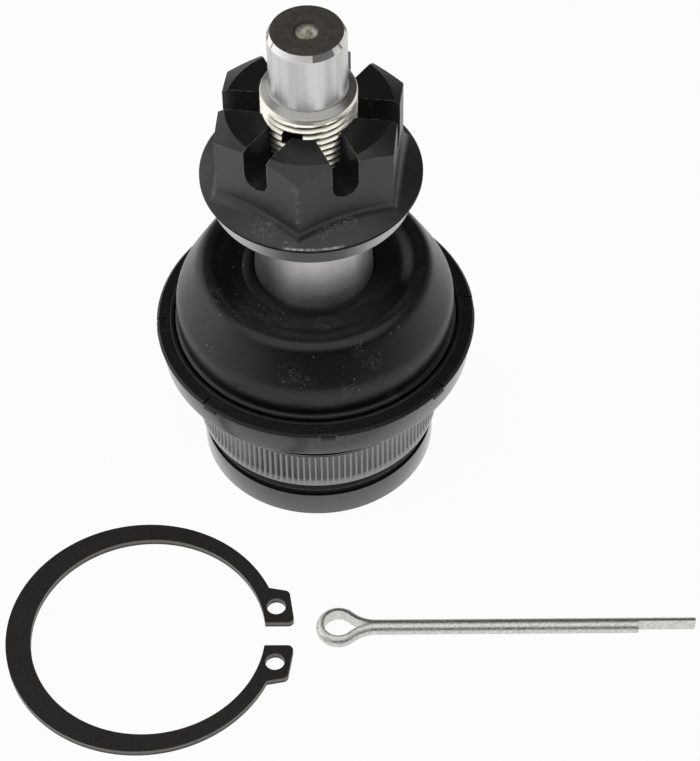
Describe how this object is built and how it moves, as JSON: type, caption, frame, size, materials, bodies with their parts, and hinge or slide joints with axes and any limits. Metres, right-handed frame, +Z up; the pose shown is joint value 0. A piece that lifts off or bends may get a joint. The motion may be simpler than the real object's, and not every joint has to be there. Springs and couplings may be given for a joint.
{
  "type": "suspension ball joint",
  "caption": "Press-in suspension ball joint with a swivelling tapered stud, dust boot, slotted flange nut, snap ring and split pin.",
  "frame": {"origin": "centre of the housing's base, on the surface that the joint stands on", "axes": "+Z up the stud, +X to the right and +Y away, as seen from the side where the snap ring and split pin lie"},
  "size_m": [0.1433, 0.1182, 0.117],
  "materials": {
    "machined_steel": "turned, lightly oiled",
    "stud_steel": "bright ground",
    "hidden_steel": "plain",
    "seat_plastic": "moulded",
    "boot_rubber": "satin, dusty",
    "black_ring": "matte",
    "black_phosphate": "phosphated, worn at the edges",
    "spring_steel": "black oxide",
    "zinc_wire": "bright zinc"
  },
  "bodies": {
    "housing_body": {"housing": "machined_steel", "base_cover": "hidden_steel", "preload_spring": "hidden_steel", "upper_bearing": "seat_plastic", "dust_boot": "boot_rubber", "boot_retainer": "black_ring"},
    "seat_body": {"lower_bearing": "hidden_steel"},
    "neck_body": {"boot_neck_ring": "hidden_steel"},
    "stud_body": {"ball_stud": "stud_steel"},
    "nut_body": {"castle_nut": "black_phosphate"},
    "ring_body": {"snap_ring": "spring_steel"},
    "pin_body": {"cotter_pin": "zinc_wire"}
  },
  "joints": [
    {"name": "swing_heading", "type": "hinge", "parent": "housing_body", "child": "seat_body", "pos_m": [0, 0, 0.025], "axis": [0, 0, 1], "continuous": true},
    {"name": "stud_swing", "type": "hinge", "parent": "seat_body", "child": "neck_body", "pos_m": [0, 0, 0.025], "axis": [1, 0, 0], "range_deg": [-20, 20], "deforming": ["dust_boot"]},
    {"name": "stud_turn", "type": "hinge", "parent": "neck_body", "child": "stud_body", "pos_m": [0, 0, 0.025], "axis": [0, 0, 1], "continuous": true},
    {"name": "nut_spin", "type": "hinge", "parent": "stud_body", "child": "nut_body", "pos_m": [0, 0, 0.0749], "axis": [0, 0, 1], "continuous": true},
    {"name": "ring_lift", "type": "slide", "parent": "housing_body", "child": "ring_body", "axis": [0, 0, 1], "range_m": [0, 0.05]},
    {"name": "pin_lift", "type": "slide", "parent": "housing_body", "child": "pin_body", "axis": [0, 0, 1], "range_m": [0, 0.05]}
  ]
}
